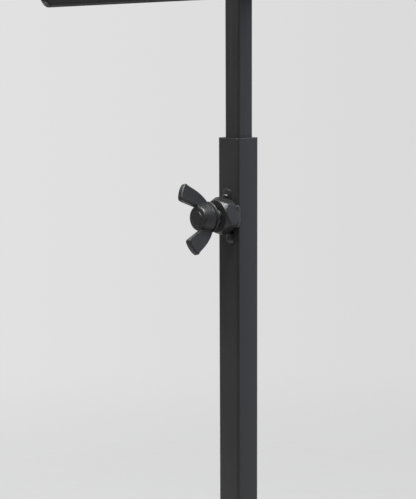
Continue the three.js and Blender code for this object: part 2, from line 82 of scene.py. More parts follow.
class Nodes:
    """A short way to write a node tree for a material or the world."""

    def __init__(self, owner):
        owner.use_nodes = True
        self.tree = owner.node_tree

    def add(self, kind, inputs=None, **settings):
        """A new node. Each input takes a value or another node's output."""
        node = self.tree.nodes.new(kind)
        for key, value in settings.items():
            setattr(node, key, value)
        for key, value in (inputs or {}).items():
            self.feed(value, node.inputs[key])
        return node

    def find(self, kind):
        return next(node for node in self.tree.nodes if node.type == kind)

    def feed(self, value, socket):
        if isinstance(value, bpy.types.NodeSocket):
            self.tree.links.new(value, socket)
        else:
            socket.default_value = value

    def remap(self, value, low, high, to_low=0.0, to_high=1.0, ramp="LINEAR"):
        """The value moved from the range low to high into the range to_low to to_high."""
        node = self.add(
            "ShaderNodeMapRange",
            {"Value": value, "From Min": low, "From Max": high, "To Min": to_low, "To Max": to_high},
            interpolation_type=ramp,
        )
        return node.outputs["Result"]

    def maths(self, operation, first, second):
        node = self.add("ShaderNodeMath", operation=operation)
        self.feed(first, node.inputs[0])
        self.feed(second, node.inputs[1])
        return node.outputs[0]

    def dot(self, first, second):
        node = self.add("ShaderNodeVectorMath", operation="DOT_PRODUCT")
        self.feed(first, node.inputs[0])
        self.feed(second, node.inputs[1])
        return node.outputs["Value"]

    def mix(self, factor, first, second):
        """A colour between first and second."""
        node = self.add("ShaderNodeMix", {"Factor": factor}, data_type="RGBA")
        colors = [socket for socket in node.inputs if socket.type == "RGBA"]
        self.feed(first, colors[0])
        self.feed(second, colors[1])
        return next(socket for socket in node.outputs if socket.type == "RGBA")


class Coat(Nodes):
    """A material built on the Principled shader, patterned in the object's own space."""

    def __init__(self, name):
        self.material = bpy.data.materials.new(name)
        super().__init__(self.material)
        self.shader = self.find("BSDF_PRINCIPLED")
        self.place = self.add("ShaderNodeTexCoord").outputs["Object"]

    def noise(self, size_mm, detail=3.0, roughness=0.55, stretch=(1, 1, 1)):
        """Noise whose main features are about size_mm across, from 0 to 1."""
        mapping = self.add("ShaderNodeMapping", {"Vector": self.place, "Scale": stretch})
        texture = self.add(
            "ShaderNodeTexNoise",
            {
                "Vector": mapping.outputs["Vector"],
                "Scale": 1 / (size_mm * MM),
                "Detail": detail,
                "Roughness": roughness,
            },
        )
        return texture.outputs["Fac"]

    def cells(self, size_mm):
        """The distance from the nearest of many scattered points about size_mm apart."""
        texture = self.add("ShaderNodeTexVoronoi", {"Vector": self.place, "Scale": 1 / (size_mm * MM)})
        return texture.outputs["Distance"]

    def edges(self, radius_mm):
        """0 on flat stretches, rising towards 1 where the surface turns within radius_mm."""
        bent = self.add("ShaderNodeBevel", {"Radius": radius_mm * MM}, samples=6).outputs["Normal"]
        true = self.add("ShaderNodeNewGeometry").outputs["Normal"]
        return self.remap(self.dot(bent, true), 1.0, 0.86)

    def bump(self, height, depth_mm, under=None):
        """The surface's normal, tilted by a height that rises depth_mm, on top of another bump."""
        inputs = {"Height": height, "Distance": depth_mm * MM, "Strength": 1.0}
        if under is not None:
            inputs["Normal"] = under
        return self.add("ShaderNodeBump", inputs).outputs["Normal"]

    def finish(self, color, roughness, normal, metallic=0.0, specular=0.5):
        self.feed(color, self.shader.inputs["Base Color"])
        self.feed(roughness, self.shader.inputs["Roughness"])
        self.feed(normal, self.shader.inputs["Normal"])
        self.shader.inputs["Metallic"].default_value = metallic
        self.shader.inputs["Specular IOR Level"].default_value = specular
        return self.material


def grey(level, blue=1.0):
    """A grey as bright as level, cooler where blue is over 1 and warmer where it is under."""
    return (level, level * (1 + (blue - 1) * 0.4), level * blue, 1.0)


def powder_coat(name):
    """Fine-textured satin black powder coat on steel: orange peel, specks, and a thin polish on edges."""
    level = 0.0095
    coat = Coat(name)
    peel = coat.noise(0.9, detail=2.0)
    grain = coat.noise(0.22, detail=3.0, roughness=0.7)
    patches = coat.noise(60, detail=3.0)
    edge = coat.edges(0.5)
    speck = coat.remap(coat.cells(3.2), 0.035, 0.0)
    mottled = coat.mix(coat.remap(patches, 0.35, 0.65), grey(level * 0.86), grey(level * 1.16, 1.03))
    grained = coat.mix(coat.remap(grain, 0.35, 0.75), mottled, grey(level * 1.6, 1.02))
    worn = coat.mix(coat.maths("MULTIPLY", edge, coat.remap(grain, 0.2, 0.7, 0.25, 0.8)), grained, grey(0.05))
    dusty = coat.mix(coat.maths("MULTIPLY", speck, 0.6), worn, grey(0.16))
    rough = coat.remap(patches, 0.3, 0.7, 0.34, 0.42)
    rough = coat.maths("ADD", rough, coat.remap(grain, 0.3, 0.8, -0.05, 0.08))
    rough = coat.maths("SUBTRACT", rough, coat.maths("MULTIPLY", edge, 0.10))
    normal = coat.bump(grain, 0.05, coat.bump(peel, 0.10))
    return coat.finish(dusty, rough, normal, specular=0.5)


def cast_paint(name):
    """Semi-gloss black paint over a casting: soft sand-cast waves, small pits, rubbed high spots."""
    level = 0.0075
    coat = Coat(name)
    waves = coat.noise(2.4, detail=3.0)
    grain = coat.noise(0.35, detail=3.0, roughness=0.6)
    pits = coat.remap(coat.cells(1.6), 0.18, 0.05)
    edge = coat.edges(0.6)
    color = coat.mix(coat.remap(waves, 0.3, 0.7), grey(level * 0.8), grey(level * 1.5, 1.05))
    color = coat.mix(coat.maths("MULTIPLY", edge, coat.remap(grain, 0.3, 0.7, 0.3, 0.9)), color, grey(0.055))
    rough = coat.remap(waves, 0.3, 0.7, 0.34, 0.46)
    rough = coat.maths("ADD", rough, coat.remap(grain, 0.3, 0.8, -0.04, 0.08))
    height = coat.maths("SUBTRACT", grain, coat.maths("MULTIPLY", pits, 0.8))
    normal = coat.bump(height, 0.08, coat.bump(waves, 0.12))
    return coat.finish(color, rough, normal, specular=0.5)


def black_zinc(name):
    """Black zinc on turned steel: dark metal with fine turning marks and bright rubbed edges."""
    coat = Coat(name)
    marks = coat.noise(0.5, detail=4.0, stretch=(1, 7, 1))
    stain = coat.noise(4.0, detail=3.0)
    edge = coat.edges(0.35)
    color = coat.mix(coat.remap(stain, 0.35, 0.7), grey(0.035, 1.1), grey(0.085, 1.0))
    color = coat.mix(coat.maths("MULTIPLY", edge, coat.remap(marks, 0.3, 0.7, 0.2, 0.9)), color, grey(0.28))
    rough = coat.remap(marks, 0.3, 0.7, 0.28, 0.46)
    return coat.finish(color, rough, coat.bump(marks, 0.02), metallic=0.85)


def bright_zinc(name):
    """Bright zinc on a stamped washer: brushed, with a few dull stains."""
    coat = Coat(name)
    brushed = coat.noise(0.4, detail=4.0, stretch=(1, 1, 8))
    stain = coat.noise(3.0, detail=3.0)
    color = coat.mix(coat.remap(stain, 0.4, 0.75), grey(0.52, 1.03), grey(0.36, 0.97))
    rough = coat.remap(brushed, 0.3, 0.7, 0.24, 0.42)
    return coat.finish(color, rough, coat.bump(brushed, 0.015), metallic=1.0)


def nylon(name):
    """Moulded black nylon: a fine spark-eroded grain and a soft sheen."""
    level = 0.014
    coat = Coat(name)
    grain = coat.noise(0.3, detail=4.0, roughness=0.65)
    flow = coat.noise(9.0, detail=2.0)
    color = coat.mix(coat.remap(flow, 0.3, 0.7), grey(level), grey(level * 1.6))
    rough = coat.remap(grain, 0.3, 0.75, 0.46, 0.64)
    return coat.finish(color, rough, coat.bump(grain, 0.05), specular=0.45)


def black_rubber(name):
    """Moulded rubber: matt, slightly grey with dust where it is proud."""
    coat = Coat(name)
    grain = coat.noise(0.6, detail=4.0, roughness=0.7)
    dust = coat.noise(7.0, detail=3.0)
    color = coat.mix(coat.remap(dust, 0.45, 0.75), grey(0.018), grey(0.05, 0.97))
    rough = coat.remap(grain, 0.3, 0.7, 0.72, 0.9)
    return coat.finish(color, rough, coat.bump(grain, 0.08), specular=0.3)


def slid_coat(name):
    """The upper tube's powder coat, with faint lengthwise rubs from sliding in the lower tube."""
    coat = Coat(name)
    peel = coat.noise(0.9, detail=2.0)
    grain = coat.noise(0.22, detail=3.0, roughness=0.7)
    patches = coat.noise(50, detail=3.0)
    rubs = coat.remap(coat.noise(0.8, detail=4.0, stretch=(1, 1, 0.012)), 0.56, 0.72)
    edge = coat.edges(0.5)
    color = coat.mix(coat.remap(patches, 0.35, 0.65), grey(0.0085), grey(0.011, 1.03))
    color = coat.mix(coat.remap(grain, 0.35, 0.75), color, grey(0.015, 1.02))
    color = coat.mix(coat.maths("MULTIPLY", rubs, 0.35), color, grey(0.045))
    color = coat.mix(coat.maths("MULTIPLY", edge, coat.remap(grain, 0.2, 0.7, 0.3, 0.9)), color, grey(0.06))
    rough = coat.remap(patches, 0.3, 0.7, 0.33, 0.41)
    rough = coat.maths("SUBTRACT", rough, coat.maths("MULTIPLY", rubs, 0.08))
    normal = coat.bump(grain, 0.04, coat.bump(peel, 0.08))
    return coat.finish(color, rough, normal, specular=0.5)


COAT = powder_coat("powder_coat")
SLID_COAT = slid_coat("powder_coat_rubbed")
CAST = cast_paint("cast_paint")
ZINC = black_zinc("black_zinc")
BRIGHT = bright_zinc("bright_zinc")
NYLON = nylon("moulded_nylon")
RUBBER = black_rubber("moulded_rubber")

# ---------------------------------------------------------------- making pieces


def piece(name, bm, material, body, stands_for=(), place=None, smooth_angle=32):
    """Turns a bmesh in millimetres into a piece that rides on a body and stands for CAD nodes."""
    bmesh.ops.recalc_face_normals(bm, faces=bm.faces)
    if place is not None:
        bm.transform(place)
    bm.transform(Matrix.Scale(MM, 4))
    mesh = bpy.data.meshes.new(name)
    bm.to_mesh(mesh)
    bm.free()
    for face in mesh.polygons:
        face.use_smooth = True
    mesh.set_sharp_from_angle(angle=math.radians(smooth_angle))
    mesh.materials.append(material)
    obj = bpy.data.objects.new(name, mesh)
    bpy.context.scene.collection.objects.link(obj)
    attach(obj, body)
    if stands_for:
        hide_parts(*stands_for)
    return obj


def skin(bm, loops, closed=False):
    """Faces between each loop of points and the next. Ends are capped, or joined if closed."""
    rings = [[bm.verts.new(p) for p in loop] for loop in loops]
    count = len(rings[0])
    pairs = list(zip(rings, rings[1:]))
    if closed:
        pairs.append((rings[-1], rings[0]))
    for low, high in pairs:
        for i in range(count):
            j = (i + 1) % count
            bm.faces.new((low[i], low[j], high[j], high[i]))
    if not closed:
        bm.faces.new(rings[0])
        bm.faces.new(rings[-1])
    return bm


def angles_round(count):
    """Angles spread evenly round a circle."""
    return [i / count * math.tau for i in range(count)]


def ring(y, angles, radius_at):
    """Points about the Y axis at one y, each radius_at(angle) from it. An angle of 0 is on Z."""
    radii = [radius_at(a) for a in angles]
    return [(r * math.sin(a), y, r * math.cos(a)) for r, a in zip(radii, angles)]


def circle(radius, y, angles):
    """Points of a circle about the Y axis."""
    return ring(y, angles, lambda a: radius)


def hexagon_radius(across_flats, angle):
    """How far a hexagon's side is from its middle, at an angle from one of its corners."""
    return across_flats / 2 / math.cos(angle % (math.pi / 3) - math.pi / 6)


def hexagon_ring(across_flats, y, limit, angles):
    """A hexagon about the Y axis, a corner on Z, its corners cut back to a circle of radius limit."""
    return ring(y, angles, lambda a: min(hexagon_radius(across_flats, a), limit))


def quarter_arc(steps):
    """The sine and cosine of angles spread evenly over a quarter turn."""
    angles = [math.pi / 2 * k / steps for k in range(steps + 1)]
    return [(math.sin(a), math.cos(a)) for a in angles]


def turned(profile, segments=64):
    """A turned body about the Y axis from (radius, y) points. Its ends are on the axis or meet."""
    bm = bmesh.new()
    on_axis = profile[0][0] == 0
    inner = profile[1:-1] if on_axis else profile
    angles = angles_round(segments)
    rings = [[bm.verts.new(p) for p in circle(radius, y, angles)] for radius, y in inner]
    pairs = list(zip(rings, rings[1:]))
    if not on_axis:
        pairs.append((rings[-1], rings[0]))
    for low, high in pairs:
        for i in range(segments):
            j = (i + 1) % segments
            bm.faces.new((low[i], low[j], high[j], high[i]))
    if on_axis:
        for (_, y), edge in ((profile[0], rings[0]), (profile[-1], rings[-1])):
            pole = bm.verts.new((0, y, 0))
            for i in range(segments):
                bm.faces.new((pole, edge[i], edge[(i + 1) % segments]))
    return bm


def softened(points, radius, steps=4, closed=False):
    """The same outline with each corner rounded by up to radius. Open ends stay where they are."""
    corners = [Vector(p) for p in points]
    count = len(corners)
    out = []
    for i, corner in enumerate(corners):
        if not closed and i in (0, count - 1):
            out.append(corner)
            continue
        before = corners[i - 1] - corner
        after = corners[(i + 1) % count] - corner
        reach = min(radius, before.length * 0.45, after.length * 0.45)
        start = corner + before.normalized() * reach
        end = corner + after.normalized() * reach
        for k in range(steps + 1):
            share = k / steps
            out.append(start * (1 - share) ** 2 + corner * 2 * share * (1 - share) + end * share * share)
    return [tuple(p) for p in out]


def rounded_rectangle(width, height, radius, steps):
    """Points of a rectangle with round corners, anticlockwise, centred on the origin."""
    points = []
    for quarter in range(4):
        side_x = 1 if quarter in (0, 3) else -1
        side_y = 1 if quarter in (0, 1) else -1
        for k in range(steps + 1):
            angle = math.pi / 2 * (quarter + k / steps)
            points.append((
                side_x * (width / 2 - radius) + radius * math.cos(angle),
                side_y * (height / 2 - radius) + radius * math.sin(angle),
            ))
    return points


def rounded_plate(width, height, corner, bottom, thickness, edge, steps=8):
    """A flat plate in the XY plane whose long edges are rounded by edge."""
    arc = quarter_arc(4)
    section = [(edge - edge * s, bottom + edge - edge * c) for s, c in arc]
    section += [(edge - edge * c, bottom + thickness - edge + edge * s) for s, c in arc]
    loops = []
    for inset, z in section:
        outline = rounded_rectangle(width - 2 * inset, height - 2 * inset, corner - inset, steps)
        loops.append([(x, y, z) for x, y in outline])
    return skin(bmesh.new(), loops)


def extruded(outline, depth, bevel, sharp_angle=30):
    """An outline in the XY plane extruded along Z from 0 to depth, with its sharp edges rounded."""
    bm = skin(bmesh.new(), [[(x, y, 0) for x, y in outline], [(x, y, depth) for x, y in outline]])
    bmesh.ops.recalc_face_normals(bm, faces=bm.faces)
    limit = math.radians(sharp_angle)
    sharp = [e for e in bm.edges if e.is_manifold and e.calc_face_angle() > limit]
    bmesh.ops.bevel(bm, geom=sharp, offset=bevel, segments=3, profile=0.5, affect="EDGES")
    return bm


def joined(*parts):
    """Several bmeshes in one, without merging them."""
    whole = parts[0]
    for part in parts[1:]:
        scratch = bpy.data.meshes.new("scratch")
        part.to_mesh(scratch)
        part.free()
        whole.from_mesh(scratch)
        bpy.data.meshes.remove(scratch)
    return whole


def fused(bm, voxel_mm, smoothing):
    """Overlapping closed bodies as one skin with soft hollows between them, as a casting has."""
    mesh = bpy.data.meshes.new("fusing")
    bmesh.ops.recalc_face_normals(bm, faces=bm.faces)
    bm.to_mesh(mesh)
    bm.free()
    obj = bpy.data.objects.new("fusing", mesh)
    bpy.context.scene.collection.objects.link(obj)
    remesh = obj.modifiers.new("fuse", "REMESH")
    remesh.mode = "VOXEL"
    remesh.voxel_size = voxel_mm
    smooth = obj.modifiers.new("soften", "SMOOTH")
    smooth.factor = 0.5
    smooth.iterations = smoothing
    evaluated = obj.evaluated_get(bpy.context.evaluated_depsgraph_get())
    result = bmesh.new()
    result.from_mesh(evaluated.to_mesh())
    evaluated.to_mesh_clear()
    bpy.data.objects.remove(obj)
    bpy.data.meshes.remove(mesh)
    return result


ALONG_X = Matrix.Rotation(-math.pi / 2, 4, "Z")  # a body turned about Y is turned about X
ALONG_Z = Matrix.Rotation(math.pi / 2, 4, "X")  # a body turned about Y is turned about Z
SIDE_VIEW = Matrix(((0, 0, 1, 0), (1, 0, 0, 0), (0, 1, 0, 0), (0, 0, 0, 1)))  # X, Y, Z become Y, Z, X


def at(x, y, z):
    """A move by x, y, z."""
    return Matrix.Translation((x, y, z))


# ---------------------------------------------------------------- base

plate = Box("base_plate")
flange = Box("mast_flange")
lower = Box("lower_mast_tube")
upper = Box("upper_mast_tube")
PLATE_CORNER = 14
FLANGE_CORNER = 6
LOWER_CORNER = 1.9
LOWER_WALL = 2.0
UPPER_CORNER = 1.4
UPPER_WALL = 1.2


def base_plate():
    sheet = rounded_plate(
        plate.size.x, plate.size.y, PLATE_CORNER, plate.low.z, plate.size.z, edge=0.8, steps=12)
    piece("base_plate_coated", sheet, COAT, "base", ["base_plate"])


def mast_flange():
    sheet = rounded_plate(
        flange.size.x, flange.size.y, FLANGE_CORNER, flange.low.z, flange.size.z, edge=0.7)
    piece("mast_flange_coated", sheet, COAT, "base", ["mast_flange"])


def dense_outline(width, radius, spacing):
    """A square outline with round corners and points about spacing apart."""
    points = rounded_rectangle(width, width, radius, steps=4)
    dense = []
    for i, point in enumerate(points):
        start = Vector(point)
        end = Vector(points[(i + 1) % len(points)])
        parts = max(1, round((end - start).length / spacing))
        dense.extend(tuple(start.lerp(end, k / parts)) for k in range(parts))
    return dense


def mast_foot_weld():
    """A rippled weld bead round the lower tube's foot, half sunk in the corner."""
    bead = 1.9
    ripple = 1.6
    path = dense_outline(lower.size.x + 0.6, LOWER_CORNER + 0.3, spacing=0.3)
    angles = angles_round(12)
    loops = []
    run = 0.0
    for i, (x, y) in enumerate(path):
        here = Vector((x, y))
        ahead = Vector(path[(i + 1) % len(path)])
        behind = Vector(path[i - 1])
        direction = (ahead - behind).normalized()
        outward = Vector((direction.y, -direction.x))
        swell = 1 + 0.10 * math.sin(run / ripple * math.tau) + 0.16 * noise.noise((x * 0.3, y * 0.3, 3))
        run += (ahead - here).length
        loops.append([
            (
                x + outward.x * bead * swell * math.cos(a),
                y + outward.y * bead * swell * math.cos(a),
                bead * swell * math.sin(a) * 0.9,
            )
            for a in angles
        ])
    piece(
        "mast_foot_weld", skin(bmesh.new(), loops, closed=True), COAT, "base",
        place=at(0, 0, flange.high.z + 0.2), smooth_angle=60)


def rubber_foot(place):
    """A round foot with a hole for its screw, and a recess that keeps the screw's head off the floor."""
    box = Box(f"rubber_foot_{place}")
    height = box.size.z
    radius = box.size.x / 2
    hole = 2.2
    recess = 5.0
    profile = softened([
        (hole, height), (hole, 3), (recess, 3), (recess, 0), (radius - 0.4, 0), (radius, 1.2),
        (radius - 0.6, height),
    ], 0.6, closed=True)
    piece(
        f"rubber_foot_{place}_moulded", turned(profile), RUBBER, "base", [f"rubber_foot_{place}"],
        place=at(box.middle.x, box.middle.y, 0) @ ALONG_Z)


def foot_screw(place):
    """A plain screw, its domed head down in the foot's recess."""
    box = Box(f"foot_screw_{place}")
    head = box.size.x / 2
    top = box.size.z
    profile = softened([
        (0, 0), (head * 0.62, 0.12), (head, 1.1), (head, 2.2), (2.0, 2.25), (2.0, top - 0.4),
        (1.6, top), (0, top),
    ], 0.4)
    piece(
        f"foot_screw_{place}_turned", turned(profile, 48), ZINC, "base", [f"foot_screw_{place}"],
        place=at(box.middle.x, box.middle.y, box.low.z) @ ALONG_Z)


def socket_screw_body(radius, height, shank, length, socket):
    """A button head with a hexagon socket, its underside at y = 0, and its shank below."""
    floor = height - socket * 0.5
    outside = softened([
        (shank, -length), (shank, 0), (radius, 0.02), (radius, 0.7), (radius * 0.86, height * 0.66),
        (radius * 0.62, height), (radius * 0.5, height),
    ], 0.35)
    angles = angles_round(72)

    def socket_ring(spread, y):
        return ring(y, angles, lambda a: hexagon_radius(socket, a + math.pi / 6) * spread)

    loops = [circle(r, y, angles) for r, y in outside]
    loops += [socket_ring(1.06, height), socket_ring(1.0, height - 0.12), socket_ring(1.0, floor)]
    return skin(bmesh.new(), loops)


def flange_screw(place):
    """A socket screw down through the flange, turned at random."""
    box = Box(f"flange_screw_{place}")
    radius = box.size.x / 2
    length = flange.high.z - box.low.z
    head_height = box.high.z - flange.high.z
    turn = Matrix.Rotation(dice.uniform(0, math.tau), 4, "Z")
    screw = socket_screw_body(radius, head_height, shank=3.0, length=length, socket=4.0)
    piece(
        f"flange_screw_{place}_socket", screw, ZINC, "base", [f"flange_screw_{place}"],
        place=at(box.middle.x, box.middle.y, flange.high.z) @ turn @ ALONG_Z)


base_plate()
mast_flange()
mast_foot_weld()
for corner in ("front_left", "front_right", "rear_left", "rear_right"):
    rubber_foot(corner)
    foot_screw(corner)
    flange_screw(corner)

# ---------------------------------------------------------------- mast tubes


def square_tube(box, wall, corner):
    """A drawn square tube up to its box's top, its rims softened, its corners round inside and out."""
    rim = 0.35
    width = box.size.x
    half = wall / 2
    section = softened(
        [(-half, box.low.z), (half, box.low.z), (half, box.high.z), (-half, box.high.z)], rim, steps=3,
        closed=True)
    loops = []
    for offset, z in section:
        side = width - 2 * half + 2 * offset
        radius = max(corner - half + offset, 0.5)
        loops.append([(x, y, z) for x, y in rounded_rectangle(side, side, radius, steps=10)])
    return skin(bmesh.new(), loops, closed=True)


piece(
    "lower_mast_tube_drawn", square_tube(lower, LOWER_WALL, LOWER_CORNER), COAT, "base",
    ["lower_mast_tube"], smooth_angle=40)
piece(
    "upper_mast_tube_drawn", square_tube(upper, UPPER_WALL, UPPER_CORNER), SLID_COAT, "upper_mast",
    ["upper_mast_tube"], place=at(0, upper.middle.y, 0), smooth_angle=40)

# ---------------------------------------------------------------- mast clamp

boss = Box("clamp_boss")
stud = Box("clamp_stud")
handle = Box("clamp_wing_handle")
clamp_z = boss.middle.z
BOSS_TURN = math.radians(13.5)  # its top corner leans to +X
BOSS_OUTER_CHAMFER = 57  # degrees from its face
BOSS_INNER_CHAMFER = 49
BOSS_CORNER = boss.size.x / 2 / math.cos(math.radians(30) - BOSS_TURN)
BOSS_FLATS = BOSS_CORNER * math.sqrt(3)
STUD_RADIUS = stud.size.x / 2
HANDLE_TURN = math.radians(15)  # its upper wing leans to +X
tube_face = lower.high.y


def welded_boss():
    """A tall hexagon nut: a steep cone chamfer at each end, corners a little worn, a countersunk bore."""
    worn_corner = BOSS_CORNER * 0.988
    face = BOSS_FLATS / 2 * 0.95
    back = boss.low.y
    front = boss.high.y
    bore = STUD_RADIUS + 0.3
    countersink = 0.75
    steps = 9
    rise = (worn_corner - face) / steps
    angles = angles_round(144)

    def chamfer(y, degrees, direction):
        slope = direction * math.tan(math.radians(degrees))
        return [hexagon_ring(BOSS_FLATS, y + slope * k * rise, face + k * rise, angles)
                for k in range(steps + 1)]

    loops = chamfer(back, BOSS_INNER_CHAMFER, 1) + chamfer(front, BOSS_OUTER_CHAMFER, -1)[::-1]
    inside = [(face - 0.2, front), (bore + countersink, front), (bore, front - countersink), (bore, back)]
    loops += [circle(radius, y, angles) for radius, y in inside]
    piece(
        "clamp_boss_machined", skin(bmesh.new(), loops, closed=True), COAT, "base", ["clamp_boss"],
        place=at(0, 0, clamp_z) @ Matrix.Rotation(BOSS_TURN, 4, "Y"), smooth_angle=20)


def weld_blob(name, x, z, size, seed, sunk=0.0):
    """A lump of weld on the tube's face beside the boss, its middle sunk below the face."""
    bm = bmesh.new()
    bmesh.ops.create_icosphere(bm, subdivisions=4, radius=1)
    for v in bm.verts:
        lump = 1 + 0.16 * noise.noise(v.co * 1.3 + Vector((seed, 0, 0))) + 0.05 * noise.noise(v.co * 6)
        v.co = v.co * Vector(size) * lump
    piece(name, bm, COAT, "base", place=at(x, boss.low.y - sunk, z), smooth_angle=70)


def specks(name, spots):
    """Small beads on the steel under the paint, or in it, from (x, y, z, radius)."""
    bm = bmesh.new()
    for x, y, z, radius in spots:
        bmesh.ops.create_icosphere(bm, subdivisions=3, radius=radius, matrix=at(x, y, z))
    piece(name, bm, COAT, "base", smooth_angle=70)


def corner_weld():
    """A rough run of weld that fills the hollow behind the boss where it overhangs the tube's corner."""
    reach = 7.4
    seed = 2.0
    steps = 70
    angles = angles_round(24)
    ridge = Vector((-tube_face + 0.45, tube_face + 0.2))
    loops = []
    for i in range(steps + 1):
        along = 2 * i / steps - 1
        z = reach * along
        taper = math.sqrt(max(1 - along**6, 0.002))
        loop = []
        for a in angles:
            lump = 1 + 0.13 * noise.noise((math.cos(a) * 2, z * 0.45, seed)) + 0.05 * math.sin(z * 2.6)
            loop.append((
                ridge.x + 1.5 * taper * lump * math.cos(a),
                ridge.y + 2.9 * taper * lump * math.sin(a),
                z,
            ))
        loops.append(loop)
    piece(
        "boss_corner_weld", skin(bmesh.new(), loops), COAT, "base", place=at(0, 0, clamp_z),
        smooth_angle=70)


def boss_tacks():
    """The weld above the boss, with a run down onto it, and the one just beyond its bottom corner."""
    reach = BOSS_CORNER + 1.2
    weld_blob("boss_tack_upper", x=0.4, z=clamp_z + 13.4, size=(4.8, 1.4, 5.2), seed=1.0, sunk=0.6)
    weld_blob("boss_tack_upper_run", x=1.3, z=clamp_z + 12.4, size=(2.9, 2.4, 1.8), seed=9.0)
    weld_blob(
        "boss_tack_lower", x=-reach * math.sin(BOSS_TURN) + 0.5,
        z=clamp_z - reach * math.cos(BOSS_TURN) - 0.8, size=(4.3, 1.6, 4.3), seed=11.0)


welded_boss()
boss_tacks()
corner_weld()
specks("weld_spatter", [
    (-tube_face - 1.1, tube_face + 0.6, clamp_z + 6.2, 0.5),
    (-BOSS_FLATS / 2 - 0.9, boss.middle.y + 1.9, clamp_z - 4.6, 0.42),
    (-4.5, tube_face, clamp_z - 19.5, 0.35),
    (5.1, tube_face, clamp_z + 21.0, 0.35),
])
specks("coat_nibs", [
    (-tube_face, 2.8, clamp_z + 40.5, 0.32),
    (-tube_face, -4.0, clamp_z - 27.5, 0.4),
    (-tube_face, 4.5, clamp_z - 71.0, 0.25),
    (2.5, tube_face, clamp_z - 118.0, 0.3),
])


def clamp_stud():
    """The bolt's rod along Y: a plain nose, a helical thread, and a plain neck up to the handle."""
    pitch = 1.5
    thread_start = 0.53  # turns the thread, so that a crest shows in front of the boss
    depth = 0.61 * pitch
    crest = 0.08  # the flat on each crest and in each root, as a share of a flank
    nose_radius = 2.7
    nose_bevel = 0.4
    start = stud.low.y + 1.9
    neck_from = boss.high.y + 1.1
    fade = 0.6
    rows_per_turn = 16
    rows = round((stud.high.y - start) / pitch * rows_per_turn)
    angles = angles_round(72)
    nose = [(nose_radius - nose_bevel, stud.low.y), (nose_radius, stud.low.y + nose_bevel),
            (nose_radius, start)]
    loops = [circle(radius, y, angles) for radius, y in nose]
    for row in range(rows + 1):
        y = start + (stud.high.y - start) * row / rows
        run_in = min(1.0, row / rows_per_turn)
        run_out = min(max((y - neck_from) / fade, 0.0), 1.0)

        def radius_at(angle):
            phase = ((y - start) / pitch + angle / math.tau + thread_start) % 1.0
            flank = 1 - abs(2 * phase - 1)
            cut = min(max((flank - crest) / (1 - 2 * crest), 0.0), 1.0)
            r = STUD_RADIUS - depth * (1 - cut) * run_in
            r -= (1 - run_in) * (STUD_RADIUS - nose_radius) * 0.6
            return r + (STUD_RADIUS - depth - r) * run_out

        loops.append(ring(y, angles, radius_at))
    piece(
        "clamp_stud_threaded", skin(bmesh.new(), loops), ZINC, "wing_bolt", ["clamp_stud"],
        place=at(stud.middle.x, 0, stud.middle.z), smooth_angle=50)


def wing_outline():
    """One wing in side view: X is the distance from the bolt's axis, Y the distance along it."""
    inside_hub = 2
    start = (9.4, 0.6)
    curves = [  # each goes on from the last one's end: two handles and its own end
        ((18.2, 5.8), (20.6, 14.0), (22.7, 15.5)),
        ((23.3, 16.1), (23.3, 16.8), (22.6, 17.5)),
        ((20.7, 19.6), (18.3, 21.0), (15.3, 21.9)),
        ((14.0, 22.3), (13.0, 22.1), (12.4, 21.2)),
        ((11.3, 18.9), (9.6, 15.2), (7.3, 9.6)),
    ]
    steps = 10
    points = [(inside_hub, start[1])]
    for first_handle, second_handle, end in curves:
        for k in range(steps):
            t = k / steps
            s = 1 - t
            shares = (s**3, 3 * s * s * t, 3 * s * t * t, t**3)
            corners = (start, first_handle, second_handle, end)
            points.append(tuple(sum(w * c[i] for w, c in zip(shares, corners)) for i in (0, 1)))
        start = end
    return points + [start, (inside_hub, start[1])]


HUB_PROFILE = [  # radius, distance along the bolt: a neck, a cone, and an end with a raised button
    (0, 0.0), (9.0, 0.0), (9.05, 2.0), (9.4, 2.5), (8.35, 9.2), (7.7, 10.3), (6.6, 10.75), (5.3, 10.75),
    (5.1, 10.8), (4.7, 11.35), (0, 11.45),
]
RIM_PROFILE = [(8.6, 0.5), (9.9, 0.5), (10.3, 0.75), (10.3, 1.15), (9.8, 1.6), (8.6, 1.65)]


def wing_handle():
    """The cast handle: two wings blended into a hub, and a thin rim round the hub's foot."""
    thickness = 4.6
    parts = [turned(softened(HUB_PROFILE, 0.35, steps=3), 120)]
    for side in (0, 1):
        wing = extruded(wing_outline(), thickness, bevel=0.95)
        wing.transform(Matrix.Rotation(math.pi * side, 4, "Y")
                       @ Matrix.Rotation(-math.pi / 2, 4, "Y") @ at(0, 0, -thickness / 2))
        parts.append(wing)
    casting = fused(joined(*parts), voxel_mm=0.2, smoothing=2)
    rim = turned(softened(RIM_PROFILE, 0.2, steps=3, closed=True), 120)
    piece(
        "wing_bolt_handle", joined(casting, rim), CAST, "wing_bolt", ["clamp_wing_handle"],
        place=at(0, handle.low.y, clamp_z) @ Matrix.Rotation(HANDLE_TURN, 4, "Y"), smooth_angle=45)


clamp_stud()
wing_handle()

# ---------------------------------------------------------------- desk and tilt hinge

tilt = joint("desk_tilt")
LEAN = -math.radians(tilt["range_deg"][0])  # the joint's lower limit stands the desk upright
pivot = Vector(tilt["pos_m"]) / MM
DESK = at(*pivot) @ Matrix.Rotation(-LEAN, 4, "X")  # the desk's own leaning frame, origin on the tilt axis
panel = Box("desk_panel")
shelf = Box("desk_shelf")

DESK_HEIGHT = 340
PIVOT_ABOVE_EDGE = 72
DESK_BACK = -15.0
DESK_THICKNESS = 1.2
DESK_FRONT = DESK_BACK - DESK_THICKNESS
DESK_RIM = 3.0
DESK_CORNER = 9.0
SHELF_THICKNESS = 1.5
WEB_THICKNESS = 2.0
GAP = 0.3  # between neighbouring pieces
desk_bottom = -PIVOT_ABOVE_EDGE
UPRIGHT = Matrix.Rotation(math.pi / 2, 4, "X")  # a plan in XY stands up in XZ, its Z along -Y


